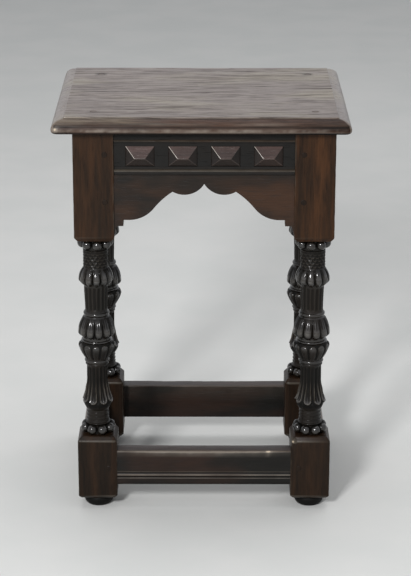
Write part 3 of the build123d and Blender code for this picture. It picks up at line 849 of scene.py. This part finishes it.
def carved_leg(name, blank):
    low_corner, high_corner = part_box(name)
    axis = (low_corner + high_corner) / 2 / MM
    hand = HAND[name]
    hand_side = math.copysign(1, axis.x)
    bm = joined([
        carved_turning(blank, hand),
        bead_ring(*LOWER_BEADS, hand["low"]),
        bead_ring(*UPPER_BEADS, hand["top"]),
        bun_foot(),
        square_block(LOWER_BLOCK[0] + SOLE[1], LOWER_BLOCK[1], (SHOULDER_UP, SOLE), hand["seed"],
                     0.3, -hand_side),
        square_block(*UPPER_BLOCK, (SHOULDER_DOWN,), hand["seed"] + 7, 0.75 + 0.25 * hand_side),
    ])
    if name == "leg_front_right":
        knocked_corner(bm)
    bmesh.ops.translate(bm, vec=(axis.x, axis.y, 0), verts=bm.verts)
    return finished(bm, "carved_" + name, LEG_OAK, name, sharp=48)


# ---------------------------------------------------------------- stretchers
STRETCHER_SECTION = [  # inwards from the leg faces, and height
    (25.5, 36.8), (24.7, 36.0), (14.0, 36.0), (3.4, 36.0), (2.5, 36.9), (2.5, 40.5), (2.5, 44.4),
    (2.5, 45.4), (2.9, 46.0), (4.1, 46.1), (4.1, 47.1), (3.5, 47.4), (3.0, 48.0), (2.65, 48.7),
    (2.5, 49.5), (2.5, 50.3), (2.65, 51.1), (3.0, 51.8), (3.5, 52.4), (4.1, 52.7), (4.1, 54.0),
    (2.9, 54.1), (2.5, 54.8), (2.5, 55.8), (2.5, 66.0), (2.5, 76.0), (2.5, 83.0), (2.6, 84.0),
    (2.85, 84.8), (3.3, 85.5), (4.0, 85.9), (5.0, 86.0), (6.2, 86.0), (9.0, 86.0), (16.0, 86.0),
    (23.5, 86.0), (24.6, 85.8), (25.3, 85.1), (25.5, 84.0), (25.5, 60.0),
]


def stretcher(side):
    half = SIDES[side]["half"]
    wear = {"front": 1.0, "back": 0.35, "left": 0.5, "right": 0.5}[side]
    seed = len(side) * 1.7
    bm, crest, sunk = fresh()
    rich = bm.verts.layers.float["rich"]
    ring = [bm.verts.new((-half - 0.4, inward, height)) for inward, height in STRETCHER_SECTION]
    end = bm.faces.new(ring)
    steps = int(2 * half / 3)
    faces = [end]
    for _ in range(steps):
        cap = bmesh.ops.extrude_face_region(bm, geom=faces)["geom"]
        moved = [v for v in cap if isinstance(v, bmesh.types.BMVert)]
        old = faces
        faces = [g for g in cap if isinstance(g, bmesh.types.BMFace)]
        bmesh.ops.translate(bm, vec=((2 * half + 0.8) / steps, 0, 0), verts=moved)
        if old[0] is not end:
            bmesh.ops.delete(bm, geom=old, context="FACES_ONLY")
    for v in bm.verts:
        x, y, z = v.co
        middle = 1 - ease(abs(x) / half, 0.35, 1.0)
        arris = bump_at(y, 3.0, 2.2) * bump_at(z, 85.6, 2.0)
        back = bump_at(y, 25.5, 2.0) * bump_at(z, 86.0, 2.0)
        scuff = 0.7 + 0.5 * unevenness(x, 0, 0, 31, seed) + 0.4 * unevenness(x, 0, 0, 8, seed)
        drop = wear * (0.25 + 1.2 * middle) * max(0.3, scuff) * bump_at(y, 2.5, 3.4) * bump_at(z, 86.0, 3.0)
        v.co.z -= drop + 0.5 * wear * middle * ease(z, 84.5, 86.0)
        v.co.y += 0.9 * drop + 0.06 * unevenness(x, y, z, 12, seed)
        # The pale line on the bead is a painted highlight, and the two on the arrises above and below it
        # are rubbing and painted highlight together.
        lines = bump_at(z, 50.2, 0.8) + 0.42 * bump_at(z, 54.7, 0.6) + 0.5 * bump_at(z, 45.7, 0.6)
        lines *= y < 3.3
        rubbed = arris * (0.7 + 0.7 * scuff) * (0.15 + 0.85 * wear) * (0.35 + middle)
        lines *= 0.75 + 0.3 * unevenness(x, 0, z, 40, seed)
        v[crest] = min(1.3, rubbed + 0.3 * back + lines)
        if side == "front":
            v[crest] += 1.9 * bump_at(x, 89.0, 3.4) * arris
        v[sunk] = 0.85 if 3.4 < y < 4.3 and 44 < z < 58 else 0.0
        v[rich] = 0.9 * ease(z, 84.0, 85.8)
    bmesh.ops.transform(bm, matrix=to_side(side), verts=bm.verts)
    oak = STRETCHER_OAK if side in ("front", "back") else SHORT_STRETCHER_OAK
    return finished(bm, side + "_stretcher", oak, "stretcher_" + side, sharp=50)


# ---------------------------------------------------------------- rails and bosses
def softened_copy(node, name, finish, width, least_angle, wear, side):
    """A node's own shape with its arrises eased. The function wear gives each face's crest, darkness and
    rich tone from its middle and the way it faces, both on the side's own axes; on the bosses these marks
    are painted light and shade, on the rails partly so."""
    bm = bmesh.new()
    bm.from_mesh(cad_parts[node].data)
    marks = [bm.faces.layers.float.new(mark) for mark in ("crest", "grime_and_shade", "rich")]
    curved = bm.faces.layers.int.new("curved")
    bmesh.ops.scale(bm, vec=(1 / MM,) * 3, verts=bm.verts)
    bmesh.ops.remove_doubles(bm, verts=bm.verts, dist=0.01)
    bmesh.ops.dissolve_limit(bm, angle_limit=math.radians(0.5), verts=bm.verts, edges=bm.edges)
    sharp = []
    for e in bm.edges:
        bend = math.degrees(e.calc_face_angle(0)) if len(e.link_faces) == 2 else 0
        if bend > least_angle:
            sharp.append(e)
        elif bend > 1.0:
            for g in e.link_faces:
                g[curved] = 1
    soft = set(bmesh.ops.bevel(bm, geom=sharp, offset=width, offset_type="OFFSET", segments=2,
                               affect="EDGES", profile=0.5, material=-1, clamp_overlap=True)["faces"])
    bmesh.ops.recalc_face_normals(bm, faces=bm.faces)
    from_side = to_side(side).inverted()
    turn_back = from_side.to_3x3()
    for g in bm.faces:
        values = wear(from_side @ g.calc_center_median(), turn_back @ g.normal, g in soft)
        for mark, value in zip(marks, values):
            g[mark] = value
        g[curved] = g[curved] or g in soft
    bmesh.ops.triangulate(bm, faces=[g for g in bm.faces if len(g.verts) > 4])
    bm.faces.ensure_lookup_table()
    bm.faces.index_update()
    flat = [g.index for g in bm.faces if not g[curved]]
    return finished(bm, name, finish, node, 35, flat)


def rail_wear_and_painted_light(middle, facing, eased):
    """The lines of the mouldings are painted paler, rubbing and painted highlight together; the frieze
    field under the top is darkened as painted shade, and the sunk bands and recesses are darkened too.
    """
    front = middle.y < 6.0
    # The beads are painted paler except on their downward faces, and the eased arrises of the sunk band
    # more so: painted highlights along with rubbing.
    bead = bump_at(middle.z, 526.0, 2.1) * 0.45 + bump_at(middle.z, 485.5, 2.6) * 0.75
    edges = 2.1 * (bump_at(middle.z, 491.5, 0.9) + bump_at(middle.z, 479.5, 0.9)) if eased else 0.0
    lit = (bead * (facing.z > -0.45) + edges) if front and abs(facing.x) < 0.5 else 0.0
    painted_shade_and_grime = 0.0
    # Painted shade on the frieze field under the top; faces set further back, the sunk band and recesses,
    # are darkened a little less.
    if front and not eased and abs(facing.x) < 0.5 and middle.z > 478:
        painted_shade_and_grime = 0.8 if middle.y > 3.6 else float(middle.z > 491)
    return lit + (0.12 if eased else 0.0), painted_shade_and_grime * (lit < 0.2), 0.0


def boss_painted_light(middle, facing, eased):
    """Painted light: the upward facets are painted paler, the lower and side facets painted darker as
    shade, and one upper hip gets a painted highlight.
    """
    if eased:
        return (1.5 if facing.x < -0.15 and facing.z > 0.12 else 0.06), 0.0, 0.3
    pale = 0.95 if middle.x < -60 else 0.55
    return 0.0, 0.4 * (facing.z < -0.2) + 0.65 * (abs(facing.x) > 0.35), pale if facing.z > 0.3 else 0.0


# ---------------------------------------------------------------- pegs
def driven_pegs(node, name, finish, radius, places, length, proud, seed):
    """Riven pegs, faceted and a little out of round, each driven into its hole."""
    rng = random.Random(seed)
    bm = bmesh.new()
    sunk = bm.verts.layers.float.new("grime_and_shade")
    for place in places:
        sides = rng.choice((8, 9, 10))
        peg = bmesh.ops.create_cone(bm, cap_ends=True, segments=sides, radius1=radius * 0.86,
                                    radius2=radius, depth=length)["verts"]
        bmesh.ops.rotate(bm, cent=(0, 0, 0), matrix=Matrix.Rotation(rng.uniform(0, 1), 3, "Z"), verts=peg)
        for v in peg:
            v.co.xy *= rng.uniform(0.93, 1.0)
            v.co.z += -length / 2
        head = [v for v in peg if v.co.z > -1.0]
        cap = [g for g in {g for v in head for g in v.link_faces} if all(v in head for v in g.verts)]
        rim = bmesh.ops.inset_individual(bm, faces=cap, thickness=0.7, use_even_offset=True)
        for v in head:
            v.co.z -= min(0.5, proud)
            v[sunk] = 0.25
        peg = list({v for g in rim["faces"] for v in g.verts} | set(peg))
        bmesh.ops.transform(bm, matrix=place, verts=peg)
    return finished(bm, name, finish, node, sharp=25)


def peg_matrix(side, x, z):
    """Sets a peg that points up into a side's face, at x along it and at height z."""
    return to_side(side) @ Matrix.Translation((x, -PEG_PROUD, z)) @ Matrix.Rotation(math.pi / 2, 4, "X")


# ---------------------------------------------------------------- the stool
moulded_top()
lathe_work = turned_blank()
for leg in HAND:
    carved_leg(leg, lathe_work)
bpy.data.meshes.remove(lathe_work)
for side, facts in SIDES.items():
    long_side = side in ("front", "back")
    stretcher(side)
    softened_copy("rail_" + side, side + "_rail", LONG_RAIL_OAK if long_side else SHORT_RAIL_OAK,
                  0.55, 32, rail_wear_and_painted_light, side)
    softened_copy("bosses_" + side, side + "_bosses", LONG_BOSS_OAK if long_side else SHORT_BOSS_OAK,
                  0.65, 14, boss_painted_light, side)
    drop = 0.0 if long_side else SIDE_PEG_DROP
    reach = facts["half"] + PEG_INSET
    rail_places = [peg_matrix(side, end * reach, z - drop) for end in (-1, 1) for z in RAIL_PEG_HEIGHTS]
    driven_pegs("rail_pegs_" + side, side + "_rail_pegs", PEG_OAK, PEG_RADIUS, rail_places,
                PEG_LENGTH, PEG_PROUD, len(side))
    low_places = [peg_matrix(side, end * reach, STRETCHER_PEG_HEIGHT) for end in (-1, 1)]
    driven_pegs("stretcher_pegs_" + side, side + "_stretcher_pegs", PEG_OAK, PEG_RADIUS, low_places,
                PEG_LENGTH, PEG_PROUD, len(side) + 5)
driven_pegs("top_pegs", "top_board_pegs", TOP_PEG_OAK, TOP_PEG_RADIUS,
            [Matrix.Translation((x, y, TOP_HEIGHT - TOP_PEG_SINK)) for x, y in TOP_PEGS],
            TOP_PEG_LENGTH, 0.1, 3)


# ---------------------------------------------------------------- floor, light and camera
def studio_floor():
    bm = bmesh.new()
    bmesh.ops.create_grid(bm, x_segments=1, y_segments=1, size=14.0)
    mesh = bpy.data.meshes.new("studio_floor")
    bm.to_mesh(mesh)
    bm.free()
    floor = bpy.data.objects.new("studio_floor", mesh)
    bpy.context.scene.collection.objects.link(floor)
    f = Finish("floor_paper")
    place = f.place()
    mottle = f.clouds(place, 6.0, 4.0)
    colour = f.mix(mottle.between(0.3, 0.7), shade(221, 222, 220), shade(226, 226, 224))
    tooth = f.clouds(place, 400.0)
    normal = f.node("ShaderNodeBump", {"Strength": 0.05, "Distance": 0.001, "Height": tooth})
    mesh.materials.append(f.close(colour, 0.8, normal))


def soft_lamp(name, place, aim, width, height, power, colour=(1, 1, 1)):
    data = bpy.data.lights.new(name, "AREA")
    data.shape = "RECTANGLE"
    data.size, data.size_y = width, height
    data.energy = power
    data.color = colour
    lamp = bpy.data.objects.new(name, data)
    lamp.location = place
    lamp.rotation_euler = (Vector(aim) - Vector(place)).to_track_quat("-Z", "Y").to_euler()
    bpy.context.scene.collection.objects.link(lamp)


def surroundings():
    """Soft light all round, and a paler studio where it is seen or mirrored."""
    world = bpy.data.worlds.new("studio_air")
    bpy.context.scene.world = world
    world.use_nodes = True
    tree = world.node_tree
    tree.nodes.clear()

    def background(colour, strength):
        made = tree.nodes.new("ShaderNodeBackground")
        made.inputs["Color"].default_value = colour
        made.inputs["Strength"].default_value = strength
        return made.outputs[0]

    def larger(one, other):
        made = tree.nodes.new("ShaderNodeMath")
        made.operation = "MAXIMUM"
        tree.links.new(one, made.inputs[0])
        tree.links.new(other, made.inputs[1])
        return made.outputs[0]

    rays = tree.nodes.new("ShaderNodeLightPath").outputs
    mirrored = larger(larger(rays["Is Camera Ray"], rays["Is Glossy Ray"]), rays["Is Transmission Ray"])
    both = tree.nodes.new("ShaderNodeMixShader")
    tree.links.new(mirrored, both.inputs[0])
    tree.links.new(background((0.96, 0.98, 1.0, 1), 0.36), both.inputs[1])
    tree.links.new(background((0.93, 0.95, 1.0, 1), 0.74), both.inputs[2])
    out = tree.nodes.new("ShaderNodeOutputWorld")
    tree.links.new(both.outputs[0], out.inputs[0])


EYE = (0.004065, -2.83255, 1.21858)
EYE_DOWN, EYE_ROLL, EYE_SIDEWAYS = 0.32129, 0.0016342, -0.000656  # in radians
LENS = 132.0


def camera():
    data = bpy.data.cameras.new("studio_camera")
    data.sensor_fit = "VERTICAL"
    data.sensor_height = 36.0
    data.lens = LENS
    data.clip_end = 100.0
    eye = bpy.data.objects.new("studio_camera", data)
    turn = (Matrix.Rotation(EYE_SIDEWAYS, 4, "Z") @ Matrix.Rotation(math.pi / 2 - EYE_DOWN, 4, "X")
            @ Matrix.Rotation(EYE_ROLL, 4, "Z"))
    eye.matrix_world = Matrix.Translation(EYE) @ turn
    bpy.context.scene.collection.objects.link(eye)
    bpy.context.scene.camera = eye


studio_floor()
soft_lamp("window", (-0.85, -2.505, 1.65), (0, 0, 0.3), 0.45, 0.5, 60)
soft_lamp("ceiling", (0.2, 0.6, 2.8), (0, 0.3, 0.4), 2.4, 2.4, 30)
surroundings()
camera()
bpy.context.scene.view_settings.view_transform = "Standard"
